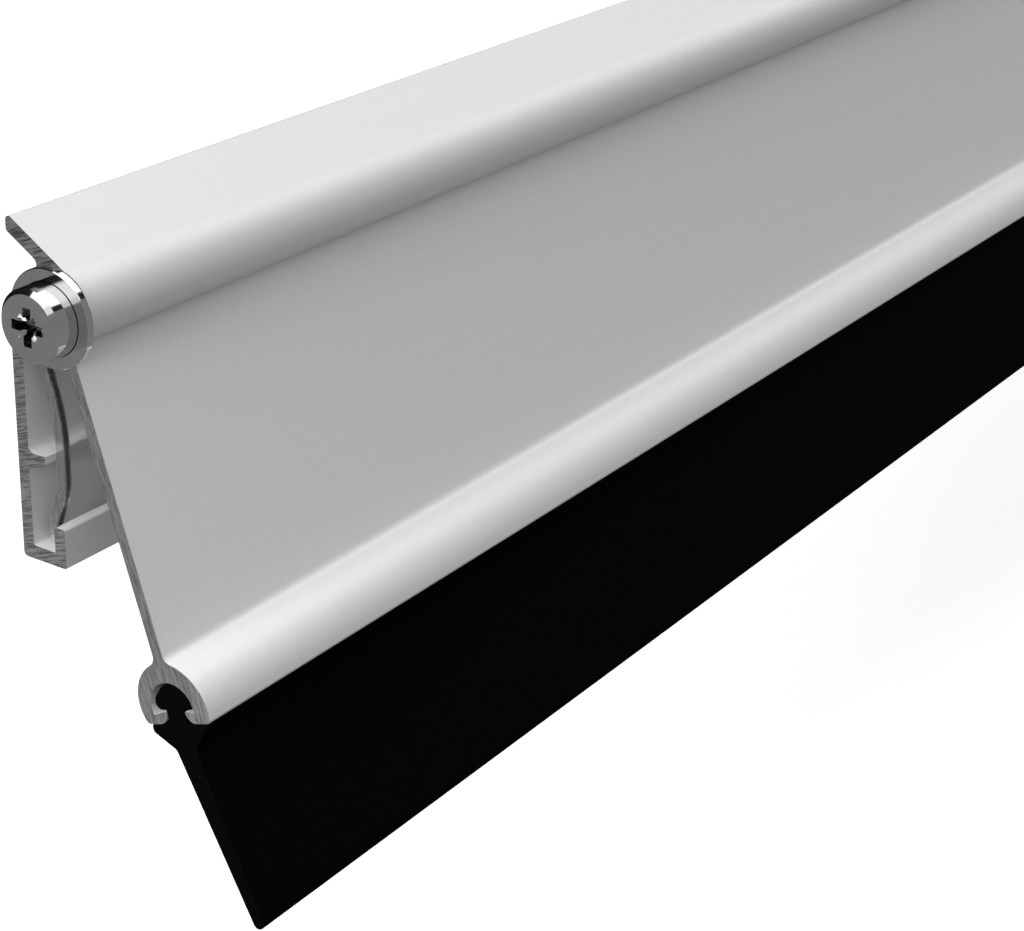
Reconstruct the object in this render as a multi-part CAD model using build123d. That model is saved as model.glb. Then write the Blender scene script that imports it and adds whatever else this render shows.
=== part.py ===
from build123d import *
import math
import os

# Spring-raised door bottom seal, in millimetres.
# X runs along the door, Y = 0 is the face of the door with +Y into the door, +Z is up.
# The origin is the middle of the fixing-hole line on the back of the rear rail.
# Sections are drawn in the Y-Z plane and extruded along X.

# Lengths along X
seal_length = 914.0          # length of the rear rail, for a 3 ft door
end_play = 0.1               # the flap and the blade stop this far short of the rail at each end

# Rear rail section
rail_wall = 1.5              # thickness of the fixing plate and of the front lip
hole_height = 18.25          # fixing-hole line above the rail's underside
floor_wall = 1.6             # thickness of the channel's floor
channel_width = 3.1          # clear width of the spring channel
lip_height = 4.6             # top of the channel's lip above the rail's underside
rib_height = 12.45           # top of the fulcrum rib above the rail's underside
rib_reach = 2.3              # the rib's nose in front of the plate
rib_nose = 0.9               # height of the rib's nose
rib_root = 1.95              # height of the rib where it meets the plate
arm_wall = 1.8               # thickness of the arm that carries the hinge bead
rail_corner = 0.5            # rounding of the rail's lower back corner
arm_corner = 1.2             # rounding of its upper back corner
arm_fillet = 0.6             # inside corner under the arm
rib_fillet = 0.7             # inside corner above the rib
rib_edge = 0.15
channel_fillet = 0.3
lip_back_edge = 0.4
lip_front_edge = 0.25

# Fixing holes
hole_diameter = 4.5
outer_hole_spacing = 810.0
inner_hole_spacing = 270.0

# Hinge
pivot_forward = 6.3          # hinge axis in front of the door face
pivot_height = 10.4          # hinge axis above the fixing-hole line
bead_radius = 2.9            # round bead on the rail's arm
hinge_clearance = 0.06       # radial clearance of the bead in its knuckle
port_diameter = 3.4          # screw port along the bead
tilt = 18.75                 # the flap's angle from upright when it is raised

# Swinging flap section
flap_wall = 1.4
plate_offset = 0.15          # plate's middle plane in front of the hinge axis
knuckle_radius = 4.3         # outside of the knuckle behind the plate
boss_radius = 4.2            # rounded front of the knuckle
boss_forward = 0.83          # centre of the rounded front, forward of the hinge axis
boss_up = 0.81               # centre of the rounded front, above the hinge axis
arm_gap = 1.0                # air between the rail's arm and the knuckle's upper edge
lip_slope = 31.5             # slope of the top lip below the horizontal
lip_wall = 1.7
lip_root = 2.3               # back of the lip's root behind the hinge axis
lip_edge = 0.5
lip_fillet = 0.9             # inside corner under the lip's root

# Blade channel along the flap's bottom, drawn from the middle of its rear round
tube_offset = 0.28           # middle in front of the hinge axis
tube_drop = 42.8             # middle below the hinge axis
tube_radius = 4.9
front_back = 0.88            # the flatter front round's centre, behind the middle
front_below = 0.65           # and below the middle
front_radius = 5.66
slot_forward = 0.07          # middle of the slot and of the blade
slot_width = 2.78
jaw_below = 2.07             # underside of the two jaws
jaw_wall = 1.42
jaw_slope = 10.0             # fall of the jaws' inner faces away from the slot
jaw_nose = 1.25              # rounding under each jaw's nose
jaw_edge = 0.1
cavity_back = 0.24
cavity_below = 0.38
cavity_radius = 3.0
rear_fillet = 1.2            # plate to tube, behind
front_fillet = 1.2           # plate to tube, in front
rear_corner = 0.7
front_corner = 0.4

# Wiper blade
head_clearance = 0.45        # mean radial clearance of the blade's head in the cavity
head_rise = 0.27             # the head's centre above the cavity's centre
head_seat_gap = 0.2          # air between the head and the jaws under it
head_flat_depth = 0.17       # flat on the head's rear shoulder
head_flat_turn = 48.0        # direction of that flat above the horizontal, in degrees
head_corner = 0.8
head_edge_rounding = 0.15
neck_clearance = 0.15        # clearance of the neck to each jaw
barb_rear = 4.0              # half-barb behind the slot's middle
barb_front = 4.05            # half-barb in front of the slot's middle
barb_rear_flat = 0.9
barb_front_flat = 0.3
barb_rear_top = 0.35         # rounding above the rear flat
barb_rear_low = 0.5          # rounding below the rear flat
barb_depth = 3.0
blade_root = 2.8             # blade thickness below the barb
blade_shift = 0.05           # middle of the root behind the slot's middle
blade_tip = 1.4              # blade thickness at its end
blade_length = 21.3
blade_lean = 10.5            # the blade's lean forward from the plate
root_fillet = 0.8
tip_rounding = 0.65

# Return spring, a bowed strip on edge
spring_inset = 1.65          # side of the strip from the rail's end
spring_width = 1.0           # along X
spring_thickness = 1.1
touch_gap = 0.05             # gap left where the strip bears on a piece
foot_gap = 0.67              # gap between the plate and the strip's foot
foot_bend = 1.9              # end of the upright foot, above the channel's floor
lower_bend = 6.35            # start of the bow, above the channel's floor
upper_bend = 14.8            # end of the bow, above the channel's floor
back_gap = 0.3               # gap between the plate and the strip at its highest bend
top_bend = 6.5               # the strip's highest bend below the hinge axis
tip_behind = 2.5             # end of the strip behind the hinge axis
tip_below = 2.87             # end of the strip below the hinge axis
bend_radii = (0.7, 3.0, 10.0, 24.0, 3.0)  # centreline, from the toe to the tip

# Pivot screws and washers
washer_diameter = 10.8
washer_hole = 4.5
washer_thickness = 0.9
washer_chamfer = 0.12
head_diameter = 8.0
head_height = 3.1
head_bevel = 0.5             # around the face
seat_bevel = 0.12            # around the underside
shank_diameter = 3.3
shank_length = 19.0
point_length = 3.0
point_radius = 0.4
recess_span = 4.2
recess_wing = 1.08
recess_depth = 2.0
recess_taper = 8.0           # degrees
recess_turn = 1.0            # turn of the cross recess seen from the end
notch_reach = 1.53           # ramps between the wings, from the middle of the recess
notch_width = 0.6
notch_slope = 30.0           # ramp to the flat of the head, in degrees
tick_reach = 1.75            # marks between the wings, from the middle of the recess
tick_length = 0.36
tick_width = 0.15
tick_depth = 0.1

# Derived places
rail_bottom = -hole_height
channel_floor = rail_bottom + floor_wall
channel_lip_back = -(rail_wall + channel_width)
channel_lip_front = channel_lip_back - rail_wall
rib_top = rail_bottom + rib_height
rib_front = -(rail_wall + rib_reach)
pivot_y = -pivot_forward
pivot_z = pivot_height
bore_radius = bead_radius + hinge_clearance
half_length = seal_length / 2
front_offset = tube_offset - front_back
front_drop = tube_drop + front_below
slot_offset = tube_offset + slot_forward
jaw_drop = tube_drop + jaw_below
cavity_offset = tube_offset - cavity_back
cavity_drop = tube_drop + cavity_below
flap_length = seal_length - 2 * end_play


def polygon(*points):
    """Closed flat shape through the points, in the section plane."""
    return make_face(Polyline(*points, close=True))


def nearest(shape, y, z):
    """Corner of a flat shape that lies nearest to a point."""
    return min(shape.vertices(), key=lambda corner: (Vector(corner) - Vector(y, z)).length)


def round_corners(shape, *corners):
    """Rounds each corner that is given as y, z and a radius."""
    for y, z, radius in corners:
        shape = fillet(nearest(shape, y, z), radius)
    return shape


def along(section, start, length):
    """Extrudes a section along X from a starting place."""
    return extrude(Plane.YZ.offset(start) * section, length)


def save(solid, name):
    """Writes one named sub-part."""
    solid.label = name
    export_step(solid, f"parts/{name}.step")


# Spring centreline, from its toe on the channel's floor to its tip on the knuckle
def spring_points():
    half = spring_thickness / 2
    floor = channel_floor + half
    foot_y = -(rail_wall + foot_gap + half)
    rib_y = rib_front - touch_gap - half
    return [
        (channel_lip_back + touch_gap, floor),
        (foot_y, floor),
        (foot_y, channel_floor + foot_bend),
        (rib_y, channel_floor + lower_bend),
        (rib_y, channel_floor + upper_bend),
        (-(rail_wall + back_gap + half), pivot_z - top_bend),
        (pivot_y + tip_behind, pivot_z - tip_below),
    ]


# Rear rail
def rail_section():
    arm_top = pivot_z + arm_wall / 2
    arm_bottom = pivot_z - arm_wall / 2
    rib_low = rib_top - rib_nose
    outline = polygon(
        (0, rail_bottom),
        (0, arm_top),
        (pivot_y, arm_top),
        (pivot_y, arm_bottom),
        (-rail_wall, arm_bottom),
        (-rail_wall, rib_top),
        (rib_front, rib_top),
        (rib_front, rib_low),
        (-rail_wall, rib_top - rib_root),
        (-rail_wall, channel_floor),
        (channel_lip_back, channel_floor),
        (channel_lip_back, rail_bottom + lip_height),
        (channel_lip_front, rail_bottom + lip_height),
        (channel_lip_front, rail_bottom),
    )
    outline = round_corners(
        outline,
        (0, rail_bottom, rail_corner),
        (0, arm_top, arm_corner),
        (-rail_wall, arm_bottom, arm_fillet),
        (-rail_wall, rib_top, rib_fillet),
        (rib_front, rib_top, rib_edge),
        (-rail_wall, channel_floor, channel_fillet),
        (channel_lip_back, rail_bottom + lip_height, lip_back_edge),
        (channel_lip_front, rail_bottom + lip_height, lip_front_edge),
        (channel_lip_front, rail_bottom, lip_front_edge),
    )
    bead = Pos(pivot_y, pivot_z) * Circle(bead_radius)
    port = Pos(pivot_y, pivot_z) * Circle(port_diameter / 2)
    return outline + bead - port


def rear_rail():
    rail = along(rail_section(), -half_length, seal_length)
    for spacing in (outer_hole_spacing, inner_hole_spacing):
        for side in (-1, 1):
            hole = Cylinder(hole_diameter / 2, 4 * rail_wall, rotation=(90, 0, 0))
            rail -= Pos(side * spacing / 2, 0, 0) * hole
    return rail


# Swinging flap, drawn about the hinge axis with the plate upright
def tube_section():
    reach = 2 * tube_radius
    rear = Pos(-tube_offset, -tube_drop) * Circle(tube_radius)
    rear -= Pos(-plate_offset - reach / 2, -tube_drop) * Rectangle(reach, 2 * reach)
    front = Pos(-front_offset, -front_drop) * Circle(front_radius)
    front -= Pos(-plate_offset + reach / 2, -front_drop) * Rectangle(reach, 2 * reach)
    return rear + front - Pos(0, -jaw_drop - reach / 2) * Rectangle(2 * reach, reach)


def cavity_section():
    jaw_top = jaw_wall - jaw_drop
    reach = 2 * cavity_radius
    half_slot = slot_width / 2
    fall = reach * math.tan(math.radians(jaw_slope))
    jaws = polygon(
        (half_slot, jaw_top),
        (half_slot + reach, jaw_top - fall),
        (half_slot + reach, jaw_top - reach),
        (-half_slot - reach, jaw_top - reach),
        (-half_slot - reach, jaw_top - fall),
        (-half_slot, jaw_top),
    )
    cavity = Pos(-cavity_offset, -cavity_drop) * Circle(cavity_radius)
    return cavity - Pos(-slot_offset, 0) * jaws


def leaf_section():
    plate_back = flap_wall / 2 - plate_offset
    plate_front = -flap_wall / 2 - plate_offset
    jaw_top = jaw_wall - jaw_drop
    plate = Pos(-plate_offset, -tube_drop / 2) * Rectangle(flap_wall, tube_drop)
    slot = Pos(-slot_offset, jaw_top - jaw_wall / 2) * Rectangle(slot_width, 2 * jaw_wall)
    leaf = plate + tube_section() - cavity_section() - slot
    leaf = round_corners(
        leaf,
        (plate_back, tube_radius - tube_drop, rear_fillet),
        (plate_front, tube_radius - tube_drop, front_fillet),
        (tube_radius - tube_offset, -jaw_drop, rear_corner),
        (-tube_radius - tube_offset, -jaw_drop, front_corner),
        (-slot_offset - slot_width / 2, -jaw_drop, jaw_nose),
        (-slot_offset + slot_width / 2, -jaw_drop, jaw_nose),
        (-slot_offset - slot_width / 2, jaw_top, jaw_edge),
        (-slot_offset + slot_width / 2, jaw_top, jaw_edge),
    )
    boss = Pos(-boss_forward, boss_up) * Circle(boss_radius)
    knuckle = Circle(knuckle_radius)
    knuckle -= Pos(-plate_offset - knuckle_radius, 0) * Rectangle(2 * knuckle_radius, 2 * knuckle_radius)
    return leaf + boss + knuckle


# Top lip, drawn about the hinge axis in its raised pose, with its tip on the door face
def lip_section():
    slope = math.radians(lip_slope)
    lean = math.radians(tilt)
    forward = boss_forward * math.cos(lean) + boss_up * math.sin(lean)
    up = boss_up * math.cos(lean) - boss_forward * math.sin(lean)
    normal = Vector(-math.sin(slope), math.cos(slope))
    centre = Vector(-forward, up)
    start = centre + normal * boss_radius

    def height(y, depth):
        return start.Y + (y - start.X) * math.tan(slope) - depth / math.cos(slope)

    upper_edge = arm_wall / 2 + arm_gap
    lip = polygon(
        (start.X, start.Y),
        (pivot_forward, height(pivot_forward, 0)),
        (pivot_forward, height(pivot_forward, lip_wall)),
        (lip_root, height(lip_root, lip_wall)),
        (lip_root, upper_edge),
        (0, upper_edge),
        (centre.X, centre.Y),
    )
    return round_corners(
        lip,
        (pivot_forward, height(pivot_forward, 0), lip_edge),
        (pivot_forward, height(pivot_forward, lip_wall), lip_edge),
        (lip_root, height(lip_root, lip_wall), lip_fillet),
    )


# Opening of the knuckle towards the door, with the face that the spring pushes on
def knuckle_opening():
    bend_y, bend_z = spring_points()[-2]
    tip_y, tip_z = spring_points()[-1]
    bend = Vector(bend_y - pivot_y, bend_z - pivot_z)
    tip = Vector(tip_y - pivot_y, tip_z - pivot_z)
    run = (tip - bend).normalized()
    sideways = Vector(-run.Y, run.X) * (spring_thickness / 2 + touch_gap)
    inner = tip + sideways + run
    outer = bend + sideways
    upper_edge = arm_wall / 2 + arm_gap
    far = 2 * knuckle_radius
    return polygon(
        (0, 0),
        (inner.X, inner.Y),
        (outer.X, outer.Y),
        (far, outer.Y),
        (far, upper_edge),
        (0, upper_edge),
    )


def flap_section():
    section = Rot(0, 0, -tilt) * leaf_section() + lip_section()
    section -= Circle(bore_radius)
    section -= knuckle_opening()
    return Pos(pivot_y, pivot_z) * section


def swing_flap():
    return along(flap_section(), -flap_length / 2, flap_length)


# Wiper blade, drawn from the slot's middle with the flap's plate upright
def blade_section():
    jaw_top = jaw_wall - jaw_drop
    head_radius = cavity_radius - head_clearance
    head_middle = head_rise - cavity_drop
    head_bottom = jaw_top + head_seat_gap
    reach = 2 * head_radius
    head = Pos(0, head_middle) * Circle(head_radius)
    head -= Pos(0, head_bottom - reach) * Rectangle(2 * reach, 2 * reach)
    shoulder = Pos(reach - head_flat_depth, 0) * Rectangle(reach, 2 * reach)
    head -= Pos(0, head_middle) * Rot(0, 0, head_flat_turn) * shoulder
    head_half = math.sqrt(head_radius**2 - (head_middle - head_bottom) ** 2)
    head = round_corners(
        head,
        (head_half, head_bottom, head_corner),
        (-head_half, head_bottom, head_edge_rounding),
    )
    neck = Pos(0, jaw_top - jaw_wall / 2) * Rectangle(slot_width - 2 * neck_clearance, 2 * jaw_wall)
    barb_bottom = -jaw_drop - barb_depth
    root_rear = blade_root / 2 + blade_shift
    root_front = root_rear - blade_root
    barb = polygon(
        (barb_rear, -jaw_drop),
        (barb_rear, -jaw_drop - barb_rear_flat),
        (root_rear, barb_bottom),
        (root_front, barb_bottom),
        (-barb_front, -jaw_drop - barb_front_flat),
        (-barb_front, -jaw_drop),
    )
    lean = math.radians(blade_lean)
    down = Vector(-math.sin(lean), -math.cos(lean))
    forward = Vector(-math.cos(lean), math.sin(lean))
    rear_tip = Vector(root_rear, barb_bottom) + down * blade_length
    front_tip = rear_tip + forward * blade_tip
    blade = polygon(
        (root_rear, barb_bottom),
        (rear_tip.X, rear_tip.Y),
        (front_tip.X, front_tip.Y),
        (root_front, barb_bottom),
        (root_front, barb_bottom + barb_depth / 2),
        (root_rear, barb_bottom + barb_depth / 2),
    )
    section = round_corners(
        barb + blade,
        (rear_tip.X, rear_tip.Y, tip_rounding),
        (front_tip.X, front_tip.Y, tip_rounding),
        (root_rear, barb_bottom, root_fillet),
        (root_front, barb_bottom, root_fillet),
        (barb_rear, -jaw_drop, barb_rear_top),
        (barb_rear, -jaw_drop - barb_rear_flat, barb_rear_low),
    )
    section = Rot(0, 0, -tilt) * (Pos(-slot_offset, 0) * (section + neck + head))
    return Pos(pivot_y, pivot_z) * section


def wiper_blade():
    return along(blade_section(), -flap_length / 2, flap_length)


# Return spring at the end where X is lowest
def return_spring():
    points = [(0, y, z) for y, z in spring_points()]
    path = FilletPolyline(*points, radius=bend_radii)
    start = Plane(origin=path @ 0, x_dir=(1, 0, 0), z_dir=path % 0)
    strip = sweep(start * Rectangle(spring_width, spring_thickness), path=path)
    return Pos(-half_length + spring_inset + spring_width / 2, 0, 0) * strip


# Pivot hardware at the end where X is lowest, on the hinge axis
def pivot_washer():
    ring = Cylinder(washer_diameter / 2, washer_thickness) - Cylinder(washer_hole / 2, washer_thickness)
    rims = ring.edges().filter_by(GeomType.CIRCLE).sort_by(lambda edge: edge.radius)[-2:]
    ring = chamfer(rims, washer_chamfer)
    return Pos(-half_length - washer_thickness / 2, pivot_y, pivot_z) * Rot(0, 90, 0) * ring


# Cross recess with a ramp and a mark between each pair of wings, its mouth at Z = 0
def cross_recess():
    wings = Rectangle(recess_span, recess_wing) + Rectangle(recess_wing, recess_span)
    recess = extrude(wings, recess_depth, taper=recess_taper)
    ramp_depth = notch_reach * math.tan(math.radians(notch_slope))
    ramp = polygon((0, 0), (notch_reach, 0), (0, ramp_depth))
    ramp = Rot(90, 0, 0) * extrude(ramp, notch_width / 2, both=True)
    tick_middle = tick_reach - tick_length / 2
    tick = Pos(tick_middle, 0, tick_depth / 2) * Box(tick_length, tick_width, tick_depth)
    for diagonal in (45, 135, 225, 315):
        recess += Rot(0, 0, diagonal) * ramp
        recess += Rot(0, 0, diagonal) * tick
    return recess


def pivot_screw():
    head = Pos(0, 0, -head_height / 2) * Cylinder(head_diameter / 2, head_height)
    head = chamfer(head.edges().filter_by(GeomType.CIRCLE).sort_by(Axis.Z)[0], head_bevel)
    head = chamfer(head.edges().filter_by(GeomType.CIRCLE).sort_by(Axis.Z)[-1], seat_bevel)
    body_length = shank_length - point_length
    shank = Pos(0, 0, body_length / 2) * Cylinder(shank_diameter / 2, body_length)
    point = Pos(0, 0, body_length + point_length / 2) * Cone(shank_diameter / 2, point_radius, point_length)
    recess = Pos(0, 0, -head_height) * Rot(0, 0, recess_turn) * cross_recess()
    screw = head + shank + point - recess
    return Pos(-half_length - washer_thickness, pivot_y, pivot_z) * Rot(0, 90, 0) * screw


os.makedirs("parts", exist_ok=True)
save(rear_rail(), "rear_rail")
save(swing_flap(), "swing_flap")
save(wiper_blade(), "wiper_blade")
for make, name in (
    (return_spring, "return_spring"),
    (pivot_washer, "pivot_washer"),
    (pivot_screw, "pivot_screw"),
):
    near = make()
    save(near, f"{name}_near")
    save(mirror(near, about=Plane.YZ), f"{name}_far")
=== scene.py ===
import bmesh
import bpy
import math
from mathutils import Matrix, Vector


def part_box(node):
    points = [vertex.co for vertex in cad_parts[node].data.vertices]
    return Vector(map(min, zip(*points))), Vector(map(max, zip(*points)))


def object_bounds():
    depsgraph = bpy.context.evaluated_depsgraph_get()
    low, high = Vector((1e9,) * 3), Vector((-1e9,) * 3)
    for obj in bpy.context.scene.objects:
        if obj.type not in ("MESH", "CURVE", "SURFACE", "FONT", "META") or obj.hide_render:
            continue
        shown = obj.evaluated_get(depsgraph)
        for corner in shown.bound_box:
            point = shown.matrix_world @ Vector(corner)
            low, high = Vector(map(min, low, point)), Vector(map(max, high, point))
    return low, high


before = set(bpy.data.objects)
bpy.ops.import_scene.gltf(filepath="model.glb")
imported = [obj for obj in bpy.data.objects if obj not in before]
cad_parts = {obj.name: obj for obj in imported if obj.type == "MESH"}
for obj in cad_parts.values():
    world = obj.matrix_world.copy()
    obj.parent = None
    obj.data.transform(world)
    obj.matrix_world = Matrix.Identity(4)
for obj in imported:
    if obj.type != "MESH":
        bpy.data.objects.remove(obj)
cadLow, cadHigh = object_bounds()
print("frame loaded:", len(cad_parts), "nodes")


# Node helpers, whose owner is a material or the world
def newMaterial(name):
    material = bpy.data.materials.new(name)
    material.use_nodes = True
    return material, material.node_tree.nodes["Principled BSDF"]


def addNode(owner, kind, **settings):
    node = owner.node_tree.nodes.new(kind)
    for key, value in settings.items():
        if key in node.inputs:
            node.inputs[key].default_value = value
        else:
            setattr(node, key, value)
    return node


def link(owner, output, target):
    owner.node_tree.links.new(output, target)


# Gives an input a number, a colour or another node's output
def feed(owner, target, value):
    if isinstance(value, (int, float)):
        target.default_value = value
    elif isinstance(value, tuple):
        target.default_value = (*value, 1.0)
    else:
        link(owner, value, target)


def splitVector(owner, vector):
    node = addNode(owner, "ShaderNodeSeparateXYZ")
    link(owner, vector, node.inputs["Vector"])
    return node.outputs


def mathNode(owner, operation, first, second=0.0):
    node = addNode(owner, "ShaderNodeMath", operation=operation)
    feed(owner, node.inputs[0], first)
    feed(owner, node.inputs[1], second)
    return node.outputs[0]


def distanceTo(owner, value, middle):
    return mathNode(owner, "ABSOLUTE", mathNode(owner, "SUBTRACT", value, middle))


def rangeNode(owner, value, span, results=(0.0, 1.0), smooth=True):
    node = addNode(owner, "ShaderNodeMapRange", interpolation_type="SMOOTHSTEP" if smooth else "LINEAR")
    link(owner, value, node.inputs["Value"])
    node.inputs["From Min"].default_value, node.inputs["From Max"].default_value = span
    node.inputs["To Min"].default_value, node.inputs["To Max"].default_value = results
    return node.outputs["Result"]


def mixColour(owner, factor, first, second, blend="MIX"):
    node = addNode(owner, "ShaderNodeMix", data_type="RGBA", blend_type=blend)
    for slot, value in ((0, factor), (6, first), (7, second)):
        feed(owner, node.inputs[slot], value)
    return node.outputs[2]


def mixValue(owner, factor, first, second):
    node = addNode(owner, "ShaderNodeMix", data_type="FLOAT")
    for slot, value in ((0, factor), (2, first), (3, second)):
        feed(owner, node.inputs[slot], value)
    return node.outputs[0]


def bumpNode(owner, height, bump):
    node = addNode(owner, "ShaderNodeBump", Strength=bump["strength"], Distance=bump["depth"])
    link(owner, height, node.inputs["Height"])
    return node.outputs["Normal"]


def grey(level):
    return (level, level, level)


# The two values that lie a share below and above a middle one
def around(middle, share):
    return (middle * (1.0 - share), middle * (1.0 + share))


def evenNoise(owner, position, size, detail):
    noise = addNode(owner, "ShaderNodeTexNoise", Detail=detail, Scale=1.0 / size)
    link(owner, position, noise.inputs["Vector"])
    return noise.outputs["Fac"]


# Noise with its own size along each axis, turned about X by some degrees
def stretchedNoise(owner, position, stretch, turn, detail, roughness):
    mapping = addNode(owner, "ShaderNodeMapping", vector_type="TEXTURE", Scale=stretch)
    mapping.inputs["Rotation"].default_value = (math.radians(turn), 0.0, 0.0)
    link(owner, position, mapping.inputs["Vector"])
    noise = addNode(owner, "ShaderNodeTexNoise", Scale=1.0, Detail=detail, Roughness=roughness)
    link(owner, mapping.outputs["Vector"], noise.inputs["Vector"])
    return noise.outputs["Fac"]


# Streaks: long along one direction of the section, short across it
def streaks(owner, position, turn, settings):
    length = settings["streakLength"]
    width = settings["streakWidth"]
    return stretchedNoise(owner, position, (width, length, width), turn, detail=3.0, roughness=0.6)


# In all settings below, sizes and places are in metres and turns are in degrees
noiseSpan = (0.3, 0.7)       # range that a noise's values are read from
endSpan = (0.85, 0.95)       # how far the normal points along X where a face turns into a cut end


# 1 on the cut ends of an extrusion, 0 on its long faces
def endMask(owner, coordinates):
    normal = splitVector(owner, coordinates.outputs["Normal"])
    return rangeNode(owner, mathNode(owner, "ABSOLUTE", normal["X"]), endSpan)


# Satin coated aluminium with sawn bare ends
aluminium = {
    "coat": 0.70,
    "coatBlue": 0.985,       # blue part of the coat, a touch under the others
    "coatRough": 0.42,
    "coatMetal": 0.10,
    "coatShine": 0.3,
    "grain": 0.015,          # share by which the fine grain changes the colour
    "grainSize": 0.0006,
    "drawn": 0.0075,         # share by which the faint die lines along the extrusion change it
    "drawLength": 0.06,
    "drawWidth": 0.0005,
    "sawnDark": 0.24,
    "sawnLight": 0.95,
    "sawnSpan": (0.34, 0.60),
    "sawnMiddle": 0.6,       # level that the strokes fade towards where their contrast is low
    "sawnRough": 0.36,
    "sawnMetal": 1.0,
    "streakLength": 0.0022,
    "streakWidth": 0.00012,
    "splitBlend": 0.001,
    "bump": {"strength": 0.25, "depth": 0.00004},
}

# Saw strokes on the ends: their turn and contrast below and above the height of the split
strokes = {
    "rail": {"turns": (-19.0, -19.0), "contrast": (0.85, 0.85), "split": 0.0},
    "flap": {"turns": (71.0, -21.0), "contrast": (0.6, 1.0), "split": 0.012},
}


def sawnLevel(material, position, stroke):
    lower, upper = (streaks(material, position, turn, aluminium) for turn in stroke["turns"])
    split = stroke["split"]
    blend = aluminium["splitBlend"]
    height = splitVector(material, position)["Z"]
    high = rangeNode(material, height, (split - blend, split + blend))
    level = rangeNode(material, mixValue(material, high, lower, upper), aluminium["sawnSpan"])
    contrast = mixValue(material, high, *stroke["contrast"])
    return mixValue(material, contrast, aluminium["sawnMiddle"], level)


def aluminiumMaterial(name, stroke):
    material, shader = newMaterial(name)
    coordinates = addNode(material, "ShaderNodeTexCoord")
    position = coordinates.outputs["Object"]
    ends = endMask(material, coordinates)
    sawn = sawnLevel(material, position, stroke)
    sawnColour = mixColour(material, sawn, grey(aluminium["sawnDark"]), grey(aluminium["sawnLight"]))
    grain = evenNoise(material, position, aluminium["grainSize"], detail=2.0)
    stretch = (aluminium["drawLength"], aluminium["drawWidth"], aluminium["drawWidth"])
    lines = stretchedNoise(material, position, stretch, turn=0.0, detail=2.0, roughness=0.5)
    grainShade = rangeNode(material, grain, noiseSpan, around(1.0, aluminium["grain"]), smooth=False)
    lineShade = rangeNode(material, lines, noiseSpan, around(1.0, aluminium["drawn"]), smooth=False)
    shade = mathNode(material, "MULTIPLY", grainShade, lineShade)
    coatLevel = mathNode(material, "MULTIPLY", shade, aluminium["coat"])
    coatColour = addNode(material, "ShaderNodeCombineColor")
    link(material, coatLevel, coatColour.inputs["Red"])
    link(material, coatLevel, coatColour.inputs["Green"])
    blue = mathNode(material, "MULTIPLY", coatLevel, aluminium["coatBlue"])
    link(material, blue, coatColour.inputs["Blue"])
    colour = mixColour(material, ends, coatColour.outputs["Color"], sawnColour)
    link(material, colour, shader.inputs["Base Color"])
    rough = mixValue(material, ends, aluminium["coatRough"], aluminium["sawnRough"])
    link(material, rough, shader.inputs["Roughness"])
    metal = mixValue(material, ends, aluminium["coatMetal"], aluminium["sawnMetal"])
    link(material, metal, shader.inputs["Metallic"])
    shader.inputs["Specular IOR Level"].default_value = aluminium["coatShine"]
    height = mixValue(material, ends, lines, sawn)
    link(material, bumpNode(material, height, aluminium["bump"]), shader.inputs["Normal"])
    return material


# Black rubber, even along the pull and mottled where it was cut
rubber = {
    "colour": 0.0015,
    "cutSpread": 0.3,        # share by which the cut end's colour varies
    "rough": 0.55,
    "cutRough": 0.6,
    "shine": 0.01,
    "grainSize": 0.0004,
    "bump": {"strength": 0.1, "depth": 0.00003},
}


def rubberMaterial():
    material, shader = newMaterial("blackRubber")
    coordinates = addNode(material, "ShaderNodeTexCoord")
    ends = endMask(material, coordinates)
    grain = evenNoise(material, coordinates.outputs["Object"], rubber["grainSize"], detail=3.0)
    mottle = rangeNode(material, grain, noiseSpan, around(1.0, rubber["cutSpread"]), smooth=False)
    cut = mixColour(material, 1.0, grey(rubber["colour"]), mottle, blend="MULTIPLY")
    colour = mixColour(material, ends, grey(rubber["colour"]), cut)
    link(material, colour, shader.inputs["Base Color"])
    rough = mixValue(material, ends, rubber["rough"], rubber["cutRough"])
    link(material, rough, shader.inputs["Roughness"])
    shader.inputs["Specular IOR Level"].default_value = rubber["shine"]
    link(material, bumpNode(material, grain, rubber["bump"]), shader.inputs["Normal"])
    return material


# Spring steel strip, drawn along its length
spring = {
    "litEdgeDark": 0.55,        # painted light: lighter narrow sides
    "litEdgeLight": 0.80,
    "shadedFaceDark": 0.12,        # painted shade: darker flat faces, standing in for the dark surround they reflect
    "shadedFaceLight": 0.26,
    "rough": 0.24,
    "roughSpread": 0.2,
    "streakTurn": 90.0,
    "streakLength": 0.004,
    "streakWidth": 0.00015,
    "highlightRimWidth": 0.00020,     # painted highlight line along each face's edges
    "highlightRimBlur": 0.2,          # share of the line's width over which it fades
    "bump": {"strength": 0.15, "depth": 0.00002},
}


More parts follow.
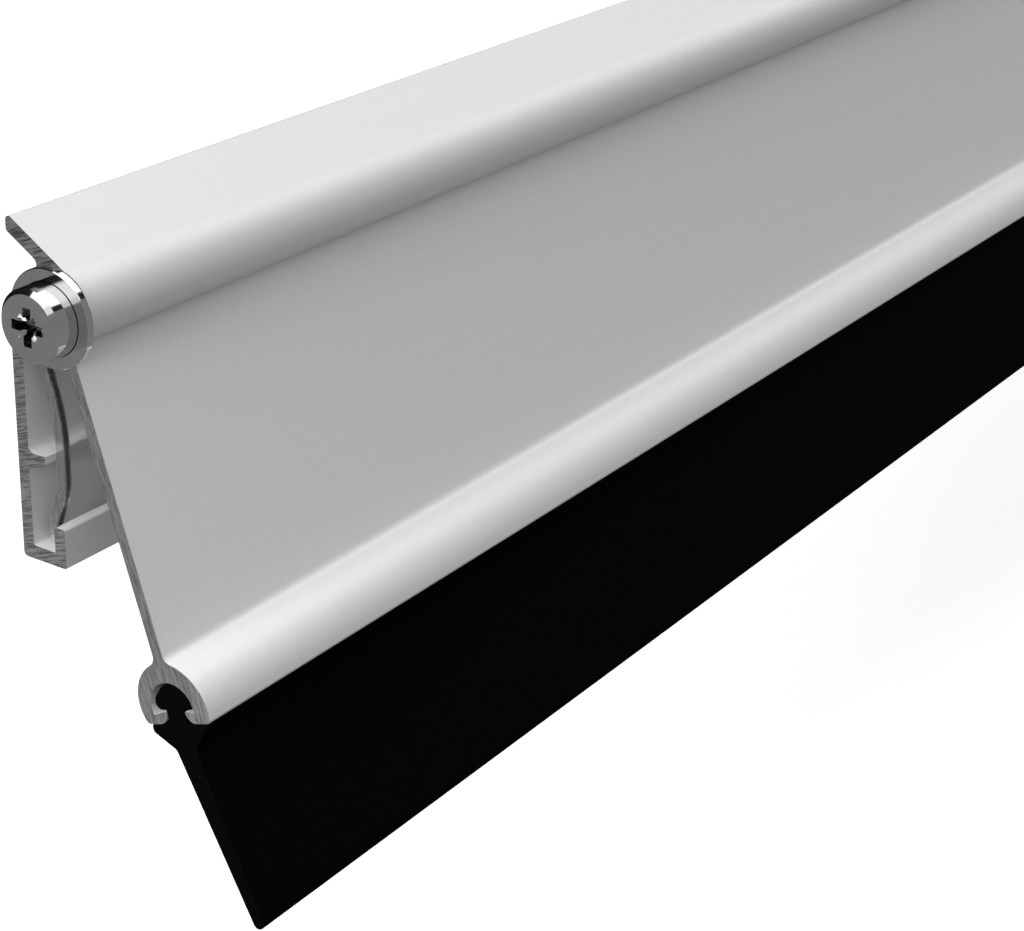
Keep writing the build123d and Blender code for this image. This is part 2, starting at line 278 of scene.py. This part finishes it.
def springMaterial():
    material, shader = newMaterial("springSteel")
    position = addNode(material, "ShaderNodeTexCoord").outputs["Object"]
    lines = streaks(material, position, spring["streakTurn"], spring)
    shade = rangeNode(material, lines, noiseSpan)
    # Painted light and shade: the lighter colour goes on the narrow sides, the darker one on the flat
    # faces
    litEdgeColour = mixColour(material, shade, grey(spring["litEdgeDark"]), grey(spring["litEdgeLight"]))
    shadedFaceColour = mixColour(material, shade, grey(spring["shadedFaceDark"]), grey(spring["shadedFaceLight"]))
    low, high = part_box("return_spring_near")
    endwise = mathNode(material, "ABSOLUTE", splitVector(material, position)["X"])
    offMiddle = distanceTo(material, endwise, -(low.x + high.x) / 2)
    half = (high.x - low.x) / 2
    inner, outer = around(spring["highlightRimWidth"], spring["highlightRimBlur"])
    # Painted highlight: the lighter colour also runs in a thin line along each face's edges
    rim = rangeNode(material, offMiddle, (half - outer, half - inner))
    link(material, mixColour(material, rim, shadedFaceColour, litEdgeColour), shader.inputs["Base Color"])
    shader.inputs["Metallic"].default_value = 1.0
    rough = rangeNode(material, lines, noiseSpan, around(spring["rough"], spring["roughSpread"]))
    link(material, rough, shader.inputs["Roughness"])
    link(material, bumpNode(material, lines, spring["bump"]), shader.inputs["Normal"])
    return material


# Bright plated steel of the screws and washers
plate = {
    "colour": (0.72, 0.72, 0.73),
    "rough": 0.07,
    "roughMost": 1.5,        # times the roughness where the haze is densest
    "hazeSize": 0.0022,
    "hazeSpan": (0.35, 0.65),
    "hazeShade": 0.94,
    "seatShadowShade": 0.06,       # painted shadow line where the head seats on the washer
    "seatShadowWidth": 0.00007,
    "seatShadowBlur": 0.3,         # share of the line's width over which it fades
    "seatShadowRadius": 0.0040,
}


# 1 away from the ring where the head seats on the washer, and dark on it: a painted shadow in the
# crease between them
def seatShadowLevel(material, position):
    washerLow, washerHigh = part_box("pivot_washer_near")
    places = splitVector(material, position)
    across = mathNode(material, "SUBTRACT", places["Y"], (washerLow.y + washerHigh.y) / 2)
    upward = mathNode(material, "SUBTRACT", places["Z"], (washerLow.z + washerHigh.z) / 2)
    squares = [mathNode(material, "POWER", length, 2.0) for length in (across, upward)]
    radius = mathNode(material, "SQRT", mathNode(material, "ADD", *squares))
    offRing = distanceTo(material, radius, plate["seatShadowRadius"])
    endwise = mathNode(material, "ABSOLUTE", places["X"])
    offSeat = distanceTo(material, endwise, -washerLow.x)
    away = mathNode(material, "MAXIMUM", offRing, offSeat)
    edge = around(plate["seatShadowWidth"], plate["seatShadowBlur"])
    return rangeNode(material, away, edge, (plate["seatShadowShade"], 1.0))


def plateMaterial():
    material, shader = newMaterial("brightPlate")
    position = addNode(material, "ShaderNodeTexCoord").outputs["Object"]
    haze = evenNoise(material, position, plate["hazeSize"], detail=3.0)
    shade = rangeNode(material, haze, plate["hazeSpan"], (plate["hazeShade"], 1.0))
    colour = mixColour(material, 1.0, plate["colour"], shade, blend="MULTIPLY")
    # Painted shadow in the crease where the head seats on the washer
    colour = mixColour(material, 1.0, colour, seatShadowLevel(material, position), blend="MULTIPLY")
    link(material, colour, shader.inputs["Base Color"])
    shader.inputs["Metallic"].default_value = 1.0
    spread = (plate["rough"], plate["rough"] * plate["roughMost"])
    link(material, rangeNode(material, haze, plate["hazeSpan"], spread), shader.inputs["Roughness"])
    return material


nodeMaterials = {
    "rear_rail": aluminiumMaterial("railAluminium", strokes["rail"]),
    "swing_flap": aluminiumMaterial("flapAluminium", strokes["flap"]),
    "wiper_blade": rubberMaterial(),
}
springSteel = springMaterial()
brightPlate = plateMaterial()
for side in ("near", "far"):
    nodeMaterials[f"return_spring_{side}"] = springSteel
    nodeMaterials[f"pivot_washer_{side}"] = brightPlate
    nodeMaterials[f"pivot_screw_{side}"] = brightPlate
for nodeName, material in nodeMaterials.items():
    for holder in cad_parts[nodeName].material_slots:
        holder.material = material
print("materials set:", len(nodeMaterials))


# Studio: pale floor, white surround, one long soft lamp overhead
studio = {
    "floorBelow": 0.06,
    "floorSize": 8.0,
    "floorColour": 0.92,     # as it is seen
    "floorBounce": 0.16,     # as it lights the object
    "floorGlow": 0.25,
    "sky": (                 # level of the surround, from straight down to straight up
        (-1.0, 0.12), (0.0, 0.19), (0.25, 0.27), (0.5, 0.88), (0.85, 0.72), (1.0, 0.36),
    ),
    "endPanel": 0.6,         # brighter patch of the surround above each end
    "endPanelToward": (0.82, -0.20, 0.50),
    "endPanelSpread": 38.0,  # turn from the patch's middle to its rim
    "lampSize": (2.6, 0.9),
    "lampPlace": (0.0, -0.05, 1.1),
    "lampTilt": -12.0,
    "lampPower": 3.7,
    "endLampSize": 0.06,     # small lamp beyond each end, which lights the space behind the flap
    "endLampPlace": (0.62, -0.005, 0.030),
    "endLampPower": 0.45,
}

# Flags around the object that only reflections show
flags = {
    "backFlag": {"level": 0.01, "place": (0.0, 0.30, 0.20), "size": (1.8, 0.0, 0.62)},
    "frontFlag": {"level": 0.23, "place": (0.0, -0.50, 0.17), "size": (2.4, 0.0, 0.56)},
    "nearFlag": {"level": 0.23, "place": (-1.0, -0.20, 0.08), "size": (0.0, 1.3, 0.38)},
    "farFlag": {"level": 0.23, "place": (1.0, -0.20, 0.08), "size": (0.0, 1.3, 0.38)},
    "gapFlagNear": {"level": 0.01, "place": (0.40, -0.50, 0.625), "size": (0.70, 0.0, 0.35)},
    "gapFlagFar": {"level": 0.01, "place": (-0.40, -0.50, 0.625), "size": (0.70, 0.0, 0.35)},
    "topPanel": {"level": 1.5, "place": (0.0, -0.08, 0.80), "size": (2.6, 1.1, 0.0)},
    "floorMat": {"level": 0.23, "place": (0.0, -0.05, -0.108), "size": (2.2, 0.9, 0.0)},
}

# Small bright cards that the ramps in the screw's recess pick up
glints = {
    "toward": ((-0.52, 0.18, -0.84), (-0.14, 0.99, -0.02)),
    "distance": 0.12,
    "size": 0.018,
    "level": 1.6,
}


# 1 for the camera and for what mirrors and clear pieces show, 0 for light that falls on the object
def viewedDirectly(owner):
    path = addNode(owner, "ShaderNodeLightPath")
    seen = path.outputs["Is Camera Ray"]
    for name in ("Is Glossy Ray", "Is Transmission Ray"):
        seen = mathNode(owner, "MAXIMUM", seen, path.outputs[name])
    return seen


# Level of the surround by the height of the direction that it is seen in
def skyLevel(world, height):
    ramp = addNode(world, "ShaderNodeValToRGB")
    stops = ramp.color_ramp.elements
    for number, (rise, strength) in enumerate(studio["sky"]):
        stop = stops[0] if number == 0 else stops.new((rise + 1.0) / 2)
        stop.color = (*grey(strength), 1.0)
    stops.remove(stops[-1])
    link(world, rangeNode(world, height, (-1.0, 1.0), smooth=False), ramp.inputs["Fac"])
    return ramp.outputs["Color"]


# Brighter patch above each end, the same on both sides
def endPanelLevel(world, direction):
    folded = addNode(world, "ShaderNodeCombineXYZ")
    link(world, mathNode(world, "ABSOLUTE", direction["X"]), folded.inputs["X"])
    link(world, direction["Y"], folded.inputs["Y"])
    link(world, direction["Z"], folded.inputs["Z"])
    nearness = addNode(world, "ShaderNodeVectorMath", operation="DOT_PRODUCT")
    link(world, folded.outputs["Vector"], nearness.inputs[0])
    nearness.inputs[1].default_value = Vector(studio["endPanelToward"]).normalized()
    rim = math.cos(math.radians(studio["endPanelSpread"]))
    return rangeNode(world, nearness.outputs["Value"], (rim, 1.0), (0.0, studio["endPanel"]))


def makeWorld():
    world = bpy.data.worlds.new("studioWorld")
    bpy.context.scene.world = world
    world.use_nodes = True
    world.node_tree.nodes.clear()
    direction = splitVector(world, addNode(world, "ShaderNodeTexCoord").outputs["Generated"])
    panel = endPanelLevel(world, direction)
    level = mixColour(world, 1.0, skyLevel(world, direction["Z"]), panel, blend="ADD")
    sky = addNode(world, "ShaderNodeBackground")
    link(world, level, sky.inputs["Color"])
    white = addNode(world, "ShaderNodeBackground", Color=(1.0, 1.0, 1.0, 1.0))
    mix = addNode(world, "ShaderNodeMixShader")
    link(world, viewedDirectly(world), mix.inputs["Fac"])
    link(world, sky.outputs["Background"], mix.inputs[1])
    link(world, white.outputs["Background"], mix.inputs[2])
    output = addNode(world, "ShaderNodeOutputWorld")
    link(world, mix.outputs["Shader"], output.inputs["Surface"])


def makeFloor():
    level = cadLow.z - studio["floorBelow"]
    bpy.ops.mesh.primitive_plane_add(size=studio["floorSize"], location=(0.0, 0.0, level))
    floor = bpy.context.object
    floor.name = "studioFloor"
    material, shader = newMaterial("floorPaint")
    seen = viewedDirectly(material)
    paint = mixColour(material, seen, grey(studio["floorBounce"]), grey(studio["floorColour"]))
    link(material, paint, shader.inputs["Base Color"])
    shader.inputs["Roughness"].default_value = 1.0
    shader.inputs["Specular IOR Level"].default_value = 0.0
    shader.inputs["Emission Color"].default_value = (1.0, 1.0, 1.0, 1.0)
    glow = mathNode(material, "MULTIPLY", seen, studio["floorGlow"])
    link(material, glow, shader.inputs["Emission Strength"])
    floor.data.materials.append(material)


def addLamp(name, size, power, place, turn):
    light = bpy.data.lights.new(name, "AREA")
    light.shape = "RECTANGLE"
    light.size, light.size_y = size
    light.energy = power
    lamp = bpy.data.objects.new(name, light)
    bpy.context.scene.collection.objects.link(lamp)
    lamp.location = place
    lamp.rotation_euler = turn
    return lamp


def makeLamps():
    tilt = (math.radians(studio["lampTilt"]), 0.0, 0.0)
    addLamp("softLamp", studio["lampSize"], studio["lampPower"], studio["lampPlace"], tilt)
    square = (studio["endLampSize"], studio["endLampSize"])
    across, forward, upward = studio["endLampPlace"]
    for side, name in ((-1.0, "endLampNear"), (1.0, "endLampFar")):
        inward = (0.0, math.radians(90.0 * side), 0.0)
        place = (side * across, forward, upward)
        lamp = addLamp(name, square, studio["endLampPower"], place, inward)
        lamp.visible_camera = False
        lamp.visible_glossy = False


# One rectangle, whose size is zero along the axis that it faces
def makeFlag(name, level, place, size):
    shape = bmesh.new()
    bmesh.ops.create_grid(shape, x_segments=1, y_segments=1, size=0.5)
    thinAxis = size.index(0.0)
    if thinAxis < 2:
        turn = Matrix.Rotation(math.radians(90.0), 3, "YX"[thinAxis])
        bmesh.ops.rotate(shape, verts=shape.verts, matrix=turn)
    bmesh.ops.scale(shape, verts=shape.verts, vec=Vector([side or 1.0 for side in size]))
    bmesh.ops.translate(shape, verts=shape.verts, vec=Vector(place))
    mesh = bpy.data.meshes.new(name)
    shape.to_mesh(mesh)
    shape.free()
    flag = bpy.data.objects.new(name, mesh)
    bpy.context.scene.collection.objects.link(flag)
    material, shader = newMaterial(name + "Paint")
    shader.inputs["Base Color"].default_value = (0.0, 0.0, 0.0, 1.0)
    shader.inputs["Specular IOR Level"].default_value = 0.0
    shader.inputs["Emission Color"].default_value = (*grey(level), 1.0)
    shader.inputs["Emission Strength"].default_value = 1.0
    mesh.materials.append(material)
    flag.visible_camera = False
    flag.visible_diffuse = False
    flag.visible_transmission = False
    flag.visible_shadow = False
    return flag


def makeGlints():
    low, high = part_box("pivot_screw_near")
    face = Vector((low.x, (low.y + high.y) / 2, (low.z + high.z) / 2))
    square = (glints["size"], glints["size"], 0.0)
    for number, toward in enumerate(glints["toward"]):
        for side, end in ((1.0, "Near"), (-1.0, "Far")):
            aim = Vector(toward).normalized()
            place = face + aim * glints["distance"]
            place.x *= side
            aim.x *= side
            card = makeFlag(f"glint{number}{end}", glints["level"], (0.0, 0.0, 0.0), square)
            turned = aim.to_track_quat("Z", "Y").to_matrix().to_4x4()
            card.matrix_world = Matrix.Translation(place) @ turned


makeWorld()
makeFloor()
makeLamps()
for flagName, flag in flags.items():
    makeFlag(flagName, flag["level"], flag["place"], flag["size"])
makeGlints()
print("studio set")


# Camera at the photograph's angle
camera = {
    "place": (-0.6289, -0.1741, 0.0998),
    "azimuth": -56.91,
    "elevation": 23.91,
    "roll": 1.58,
    "focalPixels": 2483.0,
    "imageWidth": 1024.0,    # of the photograph, in pixels
    "sensor": 36.0,          # width in millimetres
    "nearClip": 0.01,
}


def makeCamera():
    turn = math.radians(camera["azimuth"])
    rise = math.radians(camera["elevation"])
    roll = math.radians(camera["roll"])
    back = Vector((math.sin(turn) * math.cos(rise), -math.cos(turn) * math.cos(rise), math.sin(rise)))
    levelRight = Vector((math.cos(turn), math.sin(turn), 0.0))
    levelUp = back.cross(levelRight)
    right = math.cos(roll) * levelRight + math.sin(roll) * levelUp
    up = math.cos(roll) * levelUp - math.sin(roll) * levelRight
    data = bpy.data.cameras.new("photoCamera")
    data.sensor_width = camera["sensor"]
    data.lens = camera["focalPixels"] * camera["sensor"] / camera["imageWidth"]
    data.clip_start = camera["nearClip"]
    data.dof.use_dof = False
    taker = bpy.data.objects.new("photoCamera", data)
    bpy.context.scene.collection.objects.link(taker)
    turned = Matrix((right, up, back)).transposed().to_4x4()
    taker.matrix_world = Matrix.Translation(camera["place"]) @ turned
    bpy.context.scene.camera = taker


makeCamera()
bpy.context.scene.view_settings.view_transform = "Standard"
print("camera set")
